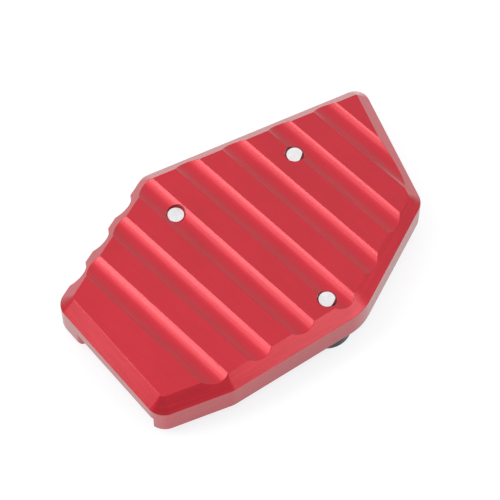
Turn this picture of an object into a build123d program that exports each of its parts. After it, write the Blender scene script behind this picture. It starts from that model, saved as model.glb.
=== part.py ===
from build123d import *
import os
from math import cos, radians, sin

# Kickstand foot enlarger, lying with its ribbed ground sole up.
# Drawing datum: the middle of the mouth edge, where the stand's foot slides in.
# X runs from the mouth edge inwards and Y across. Millimetres.

# Outline corners of the base plate, going round from the mouth edge
mouth_edge_length = 47.0
near_bend_x = 22.0
near_bend_y = -30.4
near_corner_x = 66.9
near_corner_y = -34.8
tip_near_x = 104.5
tip_near_y = -18.3
tip_far_x = 118.3
tip_far_y = 24.4
far_bend_x = 46.1
far_bend_y = 41.9

# Rounding of the sole's corners, inside the chamfer
land_corner_radius = 1.5
near_land_radius = 12.0
tip_land_radius = 0.4

# Heights
clamp_thickness = 3.5
base_height = 13.5
edge_chamfer = 4.0
edge_break = 0.4

# Round-bottomed grooves across the sole
groove_count = 7
groove_pitch = 14.56
first_groove = 17.0
groove_radius = 6.0
groove_depth = 1.3
rib_skew = 4.8

# Scallops along the side between the far bend and the mouth edge
scallop_count = 3
scallop_pitch = 13.05
first_scallop = 11.6
scallop_radius = 5.7
scallop_depth = 2.1

# Channel for the foot of the side stand
channel_width = 32.5
channel_length = 77.0
channel_depth = 5.2
channel_middle_y = -3.65
mouth_radius = 2.0

# Clamp screws: countersunk, hexagon socket
screw_diameter = 5.0
screw_length = 16.0
screw_far_length = 15.0
screw_head_diameter = 9.8
screw_head_rim = 0.3
screw_head_recess = 0.4
screw_tip_chamfer = 0.15
socket_width = 3.0
socket_depth = 2.0
screw_far_x = 44.83
screw_far_y = 24.2
screw_tip_x = 84.9
screw_tip_y = 17.35
screw_near_x = 60.15
screw_near_y = -26.15

# Fits
thread_clearance = 0.05
clamp_hole_clearance = 0.25
head_clearance = 0.05
tip_relief = 0.45
tip_relief_depth = 2.2

# Clamp plate
clamp_lobe_radius = 7.8
clamp_edge_chamfer = 0.4
leg_notch_radius = 13.0
notch_corner_radius = 2.0

screw_places = {
    "clamp_screw_far": (screw_far_x, screw_far_y),
    "clamp_screw_tip": (screw_tip_x, screw_tip_y),
    "clamp_screw_near": (screw_near_x, screw_near_y),
}
# The far screw comes out in a groove, so it is shorter
screw_lengths = dict.fromkeys(screw_places, screw_length) | {"clamp_screw_far": screw_far_length}
screw_radius = screw_diameter / 2
head_radius = screw_head_diameter / 2
rim_level = clamp_thickness
sole_level = clamp_thickness + base_height

os.makedirs("parts", exist_ok=True)

# Outline of the base plate, seen from the sole: each corner with its rounding inside the chamfer
mouth_far = Vector(0, mouth_edge_length / 2)
far_bend = Vector(far_bend_x, far_bend_y)
outline_corners = [
    (mouth_far, land_corner_radius),
    (Vector(0, -mouth_edge_length / 2), land_corner_radius),
    (Vector(near_bend_x, near_bend_y), land_corner_radius),
    (Vector(near_corner_x, near_corner_y), near_land_radius),
    (Vector(tip_near_x, tip_near_y), land_corner_radius),
    (Vector(tip_far_x, tip_far_y), tip_land_radius),
    (far_bend, land_corner_radius),
]
with BuildSketch() as plate_outline:
    with BuildLine():
        FilletPolyline(
            *[corner for corner, land_radius in outline_corners],
            radius=[land_radius + edge_chamfer for corner, land_radius in outline_corners],
            close=True,
        )
    make_face()

# The part's own origin lies under the middle of that outline
middle = plate_outline.sketch.bounding_box().center()


def level(height):
    return Plane(origin=(-middle.X, -middle.Y, height))


def screw_seat(place, height, turned=0):
    return Location((place[0] - middle.X, place[1] - middle.Y, height), (turned, 0, 0))


# Section across the ribs, standing on the sole, and plan of the scalloped side
rib_section = Plane(
    origin=(-middle.X, -middle.Y, sole_level),
    x_dir=(cos(radians(rib_skew)), sin(radians(rib_skew)), 0),
    z_dir=(sin(radians(rib_skew)), -cos(radians(rib_skew)), 0),
)
scalloped_side = Plane(
    origin=(far_bend.X - middle.X, far_bend.Y - middle.Y, rim_level),
    x_dir=mouth_far - far_bend,
    z_dir=(0, 0, 1),
)

# Base plate: ribbed sole on top, foot channel in the underside
with BuildPart() as base_plate:
    with BuildSketch(level(rim_level)):
        add(plate_outline.sketch)
    extrude(amount=base_height)
    chamfer(base_plate.faces().sort_by(Axis.Z)[-1].edges(), length=edge_chamfer)
    chamfer(base_plate.faces().sort_by(Axis.Z)[0].edges(), length=edge_break)

    with BuildSketch(scalloped_side):
        scallop_centre = scallop_depth - scallop_radius
        with Locations(*[(first_scallop + i * scallop_pitch, scallop_centre) for i in range(scallop_count)]):
            Circle(scallop_radius)
    extrude(amount=base_height, mode=Mode.SUBTRACT)

    with BuildSketch(rib_section):
        groove_centre = groove_radius - groove_depth
        with Locations(*[(first_groove + i * groove_pitch, groove_centre) for i in range(groove_count)]):
            Circle(groove_radius)
    extrude(amount=tip_far_x, both=True, mode=Mode.SUBTRACT)

    with BuildSketch(level(rim_level)) as channel:
        channel_end = channel_length - channel_width / 2
        mouth_flare = channel_width + 4 * mouth_radius
        with Locations((0, channel_middle_y)):
            Rectangle(channel_end, channel_width, align=(Align.MIN, Align.CENTER))
            Rectangle(mouth_radius, mouth_flare, align=(Align.MAX, Align.CENTER))
        with Locations((channel_end, channel_middle_y)):
            Circle(channel_width / 2)
        mouth_corners = channel.vertices().sort_by_distance((0, channel_middle_y))[:2]
        fillet(mouth_corners, radius=mouth_radius)
    extrude(amount=channel_depth, mode=Mode.SUBTRACT)

    with Locations(*[screw_seat(place, sole_level) for place in screw_places.values()]):
        CounterBoreHole(
            radius=screw_radius + thread_clearance,
            counter_bore_radius=screw_radius + tip_relief,
            counter_bore_depth=tip_relief_depth,
        )
base_plate.part.label = "base_plate"
export_step(base_plate.part, "parts/base_plate.step")

# Clamp plate: closes the channel over the stand's foot, with a notch for the stand's leg
with BuildPart() as clamp_plate:
    with BuildSketch(level(0)) as clamp_outline:
        with BuildLine():
            for place in screw_places.values():
                CenterArc(place, clamp_lobe_radius, 0, 360)
        make_hull()
        notch_x = (screw_far_x + screw_near_x) / 2 - clamp_lobe_radius
        with Locations((notch_x, channel_middle_y)):
            Circle(leg_notch_radius, mode=Mode.SUBTRACT)
        notch_corners = clamp_outline.vertices().sort_by_distance((notch_x, channel_middle_y))[:2]
        fillet(notch_corners, radius=notch_corner_radius)
    extrude(amount=clamp_thickness)
    chamfer(clamp_plate.faces().sort_by(Axis.Z)[0].edges(), length=clamp_edge_chamfer)
    with Locations(*[screw_seat(place, 0, turned=180) for place in screw_places.values()]):
        CounterSinkHole(
            radius=screw_radius + clamp_hole_clearance,
            counter_sink_radius=head_radius + screw_head_recess + screw_head_rim + head_clearance,
            counter_sink_angle=90,
        )
clamp_plate.part.label = "clamp_plate"
export_step(clamp_plate.part, "parts/clamp_plate.step")

# Clamp screws: heads just below the clamp plate's face, ends showing in the sole
for name, place in screw_places.items():
    axis_foot = (place[0] - middle.X, place[1] - middle.Y, screw_head_recess)
    screw_end = screw_lengths[name]
    with BuildPart() as screw:
        with BuildSketch(Plane(origin=axis_foot, x_dir=(1, 0, 0), z_dir=(0, -1, 0))):
            with BuildLine():
                Polyline(
                    (0, 0),
                    (head_radius, 0),
                    (head_radius, screw_head_rim),
                    (screw_radius, screw_head_rim + head_radius - screw_radius),
                    (screw_radius, screw_end - screw_tip_chamfer),
                    (screw_radius - screw_tip_chamfer, screw_end),
                    (0, screw_end),
                    close=True,
                )
            make_face()
        revolve(axis=Axis(axis_foot, (0, 0, 1)))
        with BuildSketch(Plane(origin=axis_foot)):
            RegularPolygon(socket_width / 2, 6, major_radius=False)
        extrude(amount=socket_depth, mode=Mode.SUBTRACT)
    screw.part.label = name
    export_step(screw.part, f"parts/{name}.step")
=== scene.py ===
import math

import bmesh
import bpy
from mathutils import Matrix, Vector


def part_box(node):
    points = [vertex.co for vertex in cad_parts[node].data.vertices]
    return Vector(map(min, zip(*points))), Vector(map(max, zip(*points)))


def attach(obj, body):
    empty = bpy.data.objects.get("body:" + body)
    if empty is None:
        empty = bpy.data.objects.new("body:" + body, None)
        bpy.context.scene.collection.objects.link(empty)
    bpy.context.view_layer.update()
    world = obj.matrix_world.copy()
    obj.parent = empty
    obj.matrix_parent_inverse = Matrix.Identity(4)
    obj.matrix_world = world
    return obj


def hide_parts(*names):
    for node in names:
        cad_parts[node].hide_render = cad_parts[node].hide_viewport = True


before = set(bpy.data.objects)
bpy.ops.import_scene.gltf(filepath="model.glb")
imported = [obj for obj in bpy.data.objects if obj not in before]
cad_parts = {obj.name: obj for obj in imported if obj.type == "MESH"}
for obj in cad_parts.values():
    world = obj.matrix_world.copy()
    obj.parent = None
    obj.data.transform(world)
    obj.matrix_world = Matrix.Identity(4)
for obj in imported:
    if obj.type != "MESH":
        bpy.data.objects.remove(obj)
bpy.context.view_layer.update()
mm = 0.001
print("frame loaded:", ", ".join(sorted(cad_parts)))


# Node trees

def addNode(tree, kind, values=None, **settings):
    made = tree.nodes.new(kind)
    for name, value in settings.items():
        setattr(made, name, value)
    for socket, value in (values or {}).items():
        made.inputs[socket].default_value = value
    return made


def addMath(tree, operation, first, second):
    made = addNode(tree, "ShaderNodeMath", operation=operation)
    for socket, value in zip(made.inputs, (first, second)):
        if isinstance(value, (int, float)):
            socket.default_value = value
        else:
            tree.links.new(value, socket)
    return made.outputs[0]


def spread(tree, value, low, high):
    made = addNode(tree, "ShaderNodeMapRange", {"To Min": low, "To Max": high})
    tree.links.new(value, made.inputs["Value"])
    return made.outputs["Result"]


# What shows in the metal: glossy and see-through rays
def mirroredRay(tree, ray):
    return addMath(tree, "MAXIMUM", ray.outputs["Is Glossy Ray"], ray.outputs["Is Transmission Ray"])


# Blasted grain and cutter lines, shared by all the machined metal. Lines run along the
# lands, and rings go round the sides and down the flanks at a level height
skinLook = {
    "startSizes": {"Grain Size": 0.3, "Line Width": 0.25, "Line Length": 9.0, "Cloud Size": 14.0},
    "grainDetail": 2,
    "lineDetail": 3,
    "cloudDetail": 4,
    "noiseRoughness": 0.55,
    "noiseMiddle": 0.5,
    "flatAbove": 0.98,      # upward part of the normal: no rings above it
    "slopeBelow": 0.85,     # and full rings below it
    "toneShare": (-0.25, 0.75),      # of the cloud and of the lines, which then add up about the middle
}


def makeMachinedSkin():
    group = bpy.data.node_groups.new("machinedSkin", "ShaderNodeTree")
    for name, size in skinLook["startSizes"].items():
        socket = group.interface.new_socket(name, in_out="INPUT", socket_type="NodeSocketFloat")
        socket.default_value = size
    turn = group.interface.new_socket("Turn", in_out="INPUT", socket_type="NodeSocketVector")
    turn.default_value = (0, 0, 0)
    for name in ("Grain", "Lines", "Rings", "Cloud"):
        group.interface.new_socket(name, in_out="OUTPUT", socket_type="NodeSocketFloat")
    given = addNode(group, "NodeGroupInput")
    result = addNode(group, "NodeGroupOutput")
    place = addNode(group, "ShaderNodeTexCoord")

    def perMetre(name):
        return addMath(group, "DIVIDE", 1 / mm, given.outputs[name])

    def noise(vector, detail, scale=None):
        made = addNode(group, "ShaderNodeTexNoise", {
            "Scale": 1, "Detail": detail, "Roughness": skinLook["noiseRoughness"],
        })
        group.links.new(vector, made.inputs["Vector"])
        if scale is not None:
            group.links.new(scale, made.inputs["Scale"])
        return made.outputs["Fac"]

    def stretched(vector, sizes):
        sides = addNode(group, "ShaderNodeCombineXYZ")
        for axis, size in zip("XYZ", sizes):
            group.links.new(perMetre(size), sides.inputs[axis])
        made = addNode(group, "ShaderNodeVectorMath", operation="MULTIPLY")
        group.links.new(vector, made.inputs[0])
        group.links.new(sides.outputs["Vector"], made.inputs[1])
        return made.outputs["Vector"]

    turned = addNode(group, "ShaderNodeVectorRotate", rotation_type="EULER_XYZ")
    group.links.new(place.outputs["Object"], turned.inputs["Vector"])
    group.links.new(given.outputs["Turn"], turned.inputs["Rotation"])
    across = stretched(turned.outputs["Vector"], ("Line Width", "Line Length", "Line Width"))
    level = stretched(place.outputs["Object"], ("Line Length", "Line Length", "Line Width"))
    facing = addNode(group, "ShaderNodeSeparateXYZ")
    group.links.new(place.outputs["Normal"], facing.inputs["Vector"])
    sloping = addNode(group, "ShaderNodeMapRange", {
        "From Min": skinLook["flatAbove"], "From Max": skinLook["slopeBelow"],
    })
    group.links.new(facing.outputs["Z"], sloping.inputs["Value"])

    grain = noise(place.outputs["Object"], skinLook["grainDetail"], perMetre("Grain Size"))
    rings = addMath(group, "SUBTRACT", noise(level, skinLook["lineDetail"]), skinLook["noiseMiddle"])
    rings = addMath(group, "MULTIPLY", rings, sloping.outputs["Result"])
    cloud = noise(place.outputs["Object"], skinLook["cloudDetail"], perMetre("Cloud Size"))
    group.links.new(grain, result.inputs["Grain"])
    group.links.new(noise(across, skinLook["lineDetail"]), result.inputs["Lines"])
    group.links.new(rings, result.inputs["Rings"])
    group.links.new(cloud, result.inputs["Cloud"])
    return group


machinedSkin = makeMachinedSkin()


def addSkin(tree, look):
    skin = addNode(tree, "ShaderNodeGroup", node_tree=machinedSkin)
    for name in ("Grain Size", "Line Width", "Line Length", "Cloud Size", "Turn"):
        if name in look:
            skin.inputs[name].default_value = look[name]
    return skin


# One metal: two tones by cloud, lines and rings, roughness by lines, relief by grain, lines and rings
def makeMetal(name, look):
    material = bpy.data.materials.new(name)
    material.use_nodes = True
    tree = material.node_tree
    shader = tree.nodes["Principled BSDF"]
    for socket, value in look["shader"].items():
        shader.inputs[socket].default_value = value
    skin = addSkin(tree, look)

    tone = addNode(tree, "ShaderNodeMix", data_type="RGBA")
    tone.inputs["A"].default_value = (*look["deep"], 1)
    tone.inputs["B"].default_value = (*look["pale"], 1)
    mottle = spread(tree, skin.outputs["Cloud"], *skinLook["toneShare"])
    streak = spread(tree, skin.outputs["Lines"], *skinLook["toneShare"])
    ring = addMath(tree, "MULTIPLY", skin.outputs["Rings"], look["ringTone"])
    tree.links.new(addMath(tree, "ADD", addMath(tree, "ADD", mottle, streak), ring), tone.inputs["Factor"])
    tree.links.new(tone.outputs["Result"], shader.inputs["Base Color"])

    smoothest, roughest = look["roughness"]
    tree.links.new(spread(tree, skin.outputs["Lines"], smoothest, roughest), shader.inputs["Roughness"])

    height = addMath(tree, "MULTIPLY", skin.outputs["Grain"], look["grainHeight"] * mm)
    for lines in ("Lines", "Rings"):
        cut = addMath(tree, "MULTIPLY", skin.outputs[lines], look["lineHeight"] * mm)
        height = addMath(tree, "ADD", height, cut)
    bump = addNode(tree, "ShaderNodeBump", {"Strength": 1.0, "Distance": 1.0})
    tree.links.new(height, bump.inputs["Height"])
    tree.links.new(bump.outputs["Normal"], shader.inputs["Normal"])
    return material


landSkew = 4.8      # degrees, the lands' turn from the plate's Y

redAnodised = makeMetal("redAnodised", {
    "deep": (0.506, 0.0065, 0.020),
    "pale": (0.622, 0.012, 0.0335),
    "roughness": (0.50, 0.58),
    "Grain Size": 0.45,
    "Line Width": 0.35,
    "Line Length": 12.0,
    "Cloud Size": 18.0,
    "Turn": (0, 0, -math.radians(landSkew)),
    "ringTone": 2.4,
    "grainHeight": 0.0012,
    "lineHeight": 0.0016,
    "shader": {
        "Metallic": 1.0,
        "Coat Weight": 0.78,
        "Coat Roughness": 0.25,
        "Coat IOR": 1.5,
        "Sheen Weight": 0.9,
        "Sheen Roughness": 0.35,
    },
})

blackAnodised = makeMetal("blackAnodised", {
    "deep": (0.012, 0.012, 0.0135),
    "pale": (0.022, 0.022, 0.024),
    "roughness": (0.36, 0.46),
    "Grain Size": 0.4,
    "Line Width": 0.3,
    "Line Length": 10.0,
    "ringTone": 1.0,
    "grainHeight": 0.0015,
    "lineHeight": 0.001,
    "shader": {
        "Metallic": 1.0,
        "Coat Weight": 0.4,
        "Coat Roughness": 0.25,
        "Coat IOR": 1.5,
    },
})

screwSteel = makeMetal("screwSteel", {
    "deep": (0.72, 0.705, 0.72),
    "pale": (0.92, 0.905, 0.91),
    "roughness": (0.26, 0.42),
    "Grain Size": 0.5,
    "Line Width": 0.5,
    "Line Length": 1.0,
    "Cloud Size": 2.5,
    "ringTone": 0.0,
    "grainHeight": 0.006,
    "lineHeight": 0.004,
    "shader": {"Metallic": 1.0},
})
print("materials made")


# Pieces taken from the solids. Lengths are in millimetres and angles in degrees

solidCopy = {"merge": 0.001, "flatWithin": 0.4, "normalWeight": 100}


def meshFromSolid(node, merge=solidCopy["merge"]):
    bm = bmesh.new()
    bm.from_mesh(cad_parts[node].data)
    bmesh.ops.remove_doubles(bm, verts=bm.verts, dist=merge * mm)
    flatWithin = math.radians(solidCopy["flatWithin"])
    bmesh.ops.dissolve_limit(bm, angle_limit=flatWithin, verts=bm.verts, edges=bm.edges)
    return bm


def breakEdges(bm, look, keeps=None):
    sharpAbove = math.radians(look["sharpAbove"])
    sharp = [edge for edge in bm.edges if edge.is_convex and edge.calc_face_angle() > sharpAbove]
    if keeps:
        sharp = [edge for edge in sharp if not keeps(edge)]
    bmesh.ops.bevel(
        bm, geom=sharp, offset=look["edge"] * mm, offset_type="OFFSET", segments=look["segments"],
        profile=0.5, affect="EDGES", clamp_overlap=False, material=-1,
    )
    bmesh.ops.remove_doubles(bm, verts=bm.verts, dist=solidCopy["merge"] * mm)      # left where bevels meet


def finishPiece(name, bm, look, material, node):
    for face in bm.faces:
        face.smooth = True
    for edge in bm.edges:
        edge.smooth = edge.calc_face_angle(0) < math.radians(look["crispAbove"])
    mesh = bpy.data.meshes.new(name)
    bm.to_mesh(mesh)
    bm.free()
    piece = bpy.data.objects.new(name, mesh)
    bpy.context.scene.collection.objects.link(piece)
    mesh.materials.append(material)
    weighted = piece.modifiers.new("weightedNormals", "WEIGHTED_NORMAL")
    weighted.weight = solidCopy["normalWeight"]
    weighted.keep_sharp = True
    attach(piece, "root")
    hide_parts(node)


screwBoxes = {node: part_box(node) for node in ("clamp_screw_far", "clamp_screw_tip", "clamp_screw_near")}
screwAxes = {node: (low + high) / 2 for node, (low, high) in screwBoxes.items()}

solePlate = {
    "edge": 0.08,
    "segments": 3,
    "sharpAbove": 24,
    "crispAbove": 40,
    "merge": 0.1,
    "holeReach": 3.1,
    "chamferTop": 4.2,      # the solid's own small chamfer round the underside
    "chamferTurn": 80,
}


# Screw holes stay crisp, and the underside's chamfer as it is
def keepsEdge(edge):
    inHole = any(
        all((v.co.xy - axis.xy).length < solePlate["holeReach"] * mm for v in edge.verts)
        for axis in screwAxes.values()
    )
    low = min(v.co.z for v in edge.verts) < solePlate["chamferTop"] * mm
    return inHole or low and edge.calc_face_angle() < math.radians(solePlate["chamferTurn"])


bm = meshFromSolid("base_plate", solePlate["merge"])
breakEdges(bm, solePlate, keepsEdge)
finishPiece("solePlate", bm, solePlate, redAnodised, "base_plate")
print("sole plate made")

clampPlate = {"edge": 0.15, "segments": 2, "sharpAbove": 24, "crispAbove": 50}
bm = meshFromSolid("clamp_plate")
breakEdges(bm, clampPlate)
finishPiece("clampPlate", bm, clampPlate, blackAnodised, "clamp_plate")
print("clamp plate made")


# Clamp screws: rolled thread, and an end with a worn rim and a flat where the thread starts
clampScrew = {
    "crispAbove": 70,
    "pitch": 0.8,
    "threadDepth": 0.43,
    "ringsPerPitch": 6,
    "cutWithin": 0.0005,
    "threadLength": 11.5,
    "coreShare": 0.5,      # of the shank's radius, inside which nothing is threaded
    "plainEnd": 0.9,
    "rimWidth": 0.5,
    "rimDrop": 0.1,
    "endWithin": 0.001,
    "flatReach": 2.0,
    "flatTurn": {"clamp_screw_tip": -57, "clamp_screw_near": -66},      # the far one's flat doesn't show
}


def cutRings(bm, axis, top, look):
    step = look["pitch"] / look["ringsPerPitch"] * mm
    for ring in range(int(look["threadLength"] * mm / step)):
        height = top - (ring + 0.5) * step      # half a step below the end, and on down
        bmesh.ops.bisect_plane(
            bm, geom=bm.verts[:] + bm.edges[:] + bm.faces[:], dist=look["cutWithin"] * mm,
            plane_co=(axis.x, axis.y, height), plane_no=(0, 0, 1),
        )


def cutThread(bm, axis, top, look):
    shankRadius = max((v.co.xy - axis.xy).length for v in bm.verts if v.co.z > axis.z)
    for vert in bm.verts:
        out = vert.co.xy - axis.xy
        below = (top - vert.co.z) / mm
        onShank = look["plainEnd"] < below < look["threadLength"]
        if not onShank or out.length < look["coreShare"] * shankRadius:
            continue
        turn = math.atan2(out.y, out.x) / math.tau
        phase = (below / look["pitch"] + turn) % 1
        valley = 1 - abs(2 * phase - 1)      # 0 on the crest, 1 in the root
        fade = min(1, (look["threadLength"] - below) / look["pitch"])
        radius = min(out.length, shankRadius - look["threadDepth"] * mm * valley * fade)
        vert.co.xy = axis.xy + out.normalized() * radius


def flattenStart(bm, axis, top, look, turn):
    facing = Vector((math.cos(math.radians(turn)), math.sin(math.radians(turn))))
    for vert in bm.verts:
        depth = (top - vert.co.z) / (look["plainEnd"] * mm)
        over = (vert.co.xy - axis.xy).dot(facing) - look["flatReach"] * mm
        if depth < 1 and over > 0:
            vert.co.xy -= facing * over * (1 - depth)


def lowerRim(bm, top, look):
    end = max(bm.faces, key=lambda face: face.calc_center_median().z)
    bmesh.ops.inset_region(bm, faces=[end], thickness=look["rimWidth"] * mm, use_even_offset=True)
    inner = set(end.verts)
    for vert in bm.verts:
        if abs(vert.co.z - top) < look["endWithin"] * mm and vert not in inner:
            vert.co.z -= look["rimDrop"] * mm


for node, axis in screwAxes.items():
    top = screwBoxes[node][1].z
    bm = meshFromSolid(node)
    cutRings(bm, axis, top, clampScrew)
    cutThread(bm, axis, top, clampScrew)
    if node in clampScrew["flatTurn"]:
        flattenStart(bm, axis, top, clampScrew, clampScrew["flatTurn"][node])
    lowerRim(bm, top, clampScrew)
    finishPiece(node.replace("clamp_screw_", "clampScrew."), bm, clampScrew, screwSteel, node)
print("screws made")


# Studio. Directions are as the camera sees them: right, away and up from the part

view = {
    "azimuth": -39.76,
    "elevation": 60.0,
    "distance": 605.77,
    "target": (-5.22, -3.37, 17.0),
    "sensor": 36,
    "lens": 150.04,
}
azimuth = math.radians(view["azimuth"])
toRight = Vector((math.cos(azimuth), math.sin(azimuth), 0))
toAway = Vector((-math.sin(azimuth), math.cos(azimuth), 0))
toUp = Vector((0, 0, 1))
target = Vector(view["target"]) * mm


def direction(right, away, up):
    return (toRight * right + toAway * away + toUp * up).normalized()


def addCamera():
    rise = math.radians(view["elevation"])
    back = direction(0, -math.cos(rise), math.sin(rise))
    data = bpy.data.cameras.new("camera")
    data.sensor_width = view["sensor"]
    data.lens = view["lens"]
    camera = bpy.data.objects.new("camera", data)
    camera.location = target + back * view["distance"] * mm
    camera.rotation_euler = (-back).to_track_quat("-Z", "Y").to_euler()
    bpy.context.scene.collection.objects.link(camera)
    bpy.context.scene.camera = camera


softboxes = {
    "key": {
        "towards": (-0.75, -0.17, 0.64), "along": (-0.55, -0.46, -0.69),
        "distance": 700, "size": (330, 220), "radiance": 4.7,
    },
    "keySpread": {
        "towards": (-0.61, -0.09, 0.79), "along": (-0.55, -0.46, -0.69),
        "distance": 760, "size": (640, 260), "radiance": 2.2,
    },
    "lowStrip": {
        "towards": (-0.91, -0.26, 0.32), "along": (-0.4, -0.3, -0.9),
        "distance": 700, "size": (260, 100), "radiance": 2.8,
    },
    "fill": {
        "towards": (0.86, -0.42, 0.37), "along": (1, 1, 0),
        "distance": 800, "size": (420, 340), "radiance": 3.0,
    },
}


def addSoftbox(name, box):
    data = bpy.data.lights.new(name, "AREA")
    data.shape = "RECTANGLE"
    data.size, data.size_y = (side * mm for side in box["size"])
    data.energy = math.pi * box["radiance"] * data.size * data.size_y
    lamp = bpy.data.objects.new(name, data)
    away = direction(*box["towards"])
    across = away.cross(direction(*box["along"])).normalized()
    lamp.location = target + away * box["distance"] * mm
    lamp.rotation_euler = Matrix((across.cross(away), across, away)).transposed().to_euler()
    lamp.visible_camera = False
    bpy.context.scene.collection.objects.link(lamp)


dome = {
    "brightFrom": (-0.3, 0.4, 0.85),
    "brightEdge": (-0.1, 0.7),      # cosines from that direction, where the ramp starts and ends
    "dim": 0.23,
    "bright": 1.0,
    "cardFrom": (-0.95, -0.25, 0.12),
    "cardEdge": (0.5, 0.85),
    "mirrored": 0.3,
}


def rampTowards(tree, towards, edge, low, high):
    lean = addNode(tree, "ShaderNodeVectorMath", operation="DOT_PRODUCT")
    lean.inputs[1].default_value = direction(*towards)
    place = addNode(tree, "ShaderNodeTexCoord")
    tree.links.new(place.outputs["Generated"], lean.inputs[0])
    ramp = addNode(tree, "ShaderNodeMapRange", {
        "From Min": edge[0], "From Max": edge[1], "To Min": low, "To Max": high,
    }, interpolation_type="SMOOTHSTEP")
    tree.links.new(lean.outputs["Value"], ramp.inputs["Value"])
    return ramp.outputs["Result"]


# A soft dome with a black card low on the left, white to the camera and partly so in the metal
def addDome():
    world = bpy.data.worlds.new("dome")
    bpy.context.scene.world = world
    world.use_nodes = True
    tree = world.node_tree
    shader = tree.nodes["Background"]
    shader.inputs["Color"].default_value = (1, 1, 1, 1)
    light = rampTowards(tree, dome["brightFrom"], dome["brightEdge"], dome["dim"], dome["bright"])
    card = rampTowards(tree, dome["cardFrom"], dome["cardEdge"], 1, 0)
    ray = addNode(tree, "ShaderNodeLightPath")
    mirrored = addMath(tree, "MULTIPLY", mirroredRay(tree, ray), dome["mirrored"])
    shown = addNode(tree, "ShaderNodeMix", {"B": 1.0}, data_type="FLOAT")
    tree.links.new(addMath(tree, "MAXIMUM", ray.outputs["Is Camera Ray"], mirrored), shown.inputs["Factor"])
    tree.links.new(addMath(tree, "MULTIPLY", light, card), shown.inputs["A"])
    tree.links.new(shown.outputs["Result"], shader.inputs["Strength"])


paleFloor = {
    "side": 3000,
    "drop": 0.01,      # just under the part, so that the two don't lie in one plane
    "colour": (0.32, 0.296, 0.272),
    "glow": (0.74, 0.771, 0.792),
    # painted shadow: the glow's share in the metal near the part
    "shade": 0.74,
    "shadeInside": 55,
    "shadeOutside": 95,
    "shadeSquash": 1.5,
}


# White to the camera. In the metal, the floor darkens towards the part: a painted shadow in the floor's
# glow, set by distance from the part
def makePaleFloor():
    material = bpy.data.materials.new("paleFloor")
    material.use_nodes = True
    tree = material.node_tree
    tree.nodes.remove(tree.nodes["Principled BSDF"])
    matt = addNode(tree, "ShaderNodeBsdfDiffuse", {"Color": (*paleFloor["colour"], 1)})
    glow = addNode(tree, "ShaderNodeEmission", {"Color": (*paleFloor["glow"], 1)})
    place = addNode(tree, "ShaderNodeTexCoord")
    squashed = addNode(tree, "ShaderNodeVectorMath", operation="MULTIPLY")
    squashed.inputs[1].default_value = (1, paleFloor["shadeSquash"], 0)
    tree.links.new(place.outputs["Object"], squashed.inputs[0])
    reach = addNode(tree, "ShaderNodeVectorMath", operation="LENGTH")
    tree.links.new(squashed.outputs["Vector"], reach.inputs[0])
    # painted shadow round the part, in the glow that the metal sees
    shade = addNode(tree, "ShaderNodeMapRange", {
        "From Min": paleFloor["shadeInside"] * mm, "From Max": paleFloor["shadeOutside"] * mm,
        "To Min": paleFloor["shade"], "To Max": 1.0,
    }, interpolation_type="SMOOTHSTEP")
    tree.links.new(reach.outputs["Value"], shade.inputs["Value"])
    ray = addNode(tree, "ShaderNodeLightPath")
    mirrored = addMath(tree, "MULTIPLY", mirroredRay(tree, ray), shade.outputs["Result"])
    tree.links.new(addMath(tree, "MAXIMUM", ray.outputs["Is Camera Ray"], mirrored), glow.inputs["Strength"])
    both = addNode(tree, "ShaderNodeAddShader")
    tree.links.new(matt.outputs["BSDF"], both.inputs[0])
    tree.links.new(glow.outputs["Emission"], both.inputs[1])
    tree.links.new(both.outputs["Shader"], tree.nodes["Material Output"].inputs["Surface"])
    return material


def addFloor():
    bm = bmesh.new()
    bmesh.ops.create_grid(bm, x_segments=1, y_segments=1, size=paleFloor["side"] / 2 * mm)
    mesh = bpy.data.meshes.new("floor")
    bm.to_mesh(mesh)
    bm.free()
    mesh.materials.append(makePaleFloor())
    floor = bpy.data.objects.new("floor", mesh)
    floor.location.z = -paleFloor["drop"] * mm
    bpy.context.scene.collection.objects.link(floor)


addCamera()
for name, box in softboxes.items():
    addSoftbox(name, box)
addDome()
addFloor()
bpy.context.scene.view_settings.view_transform = "Standard"
print("studio made")
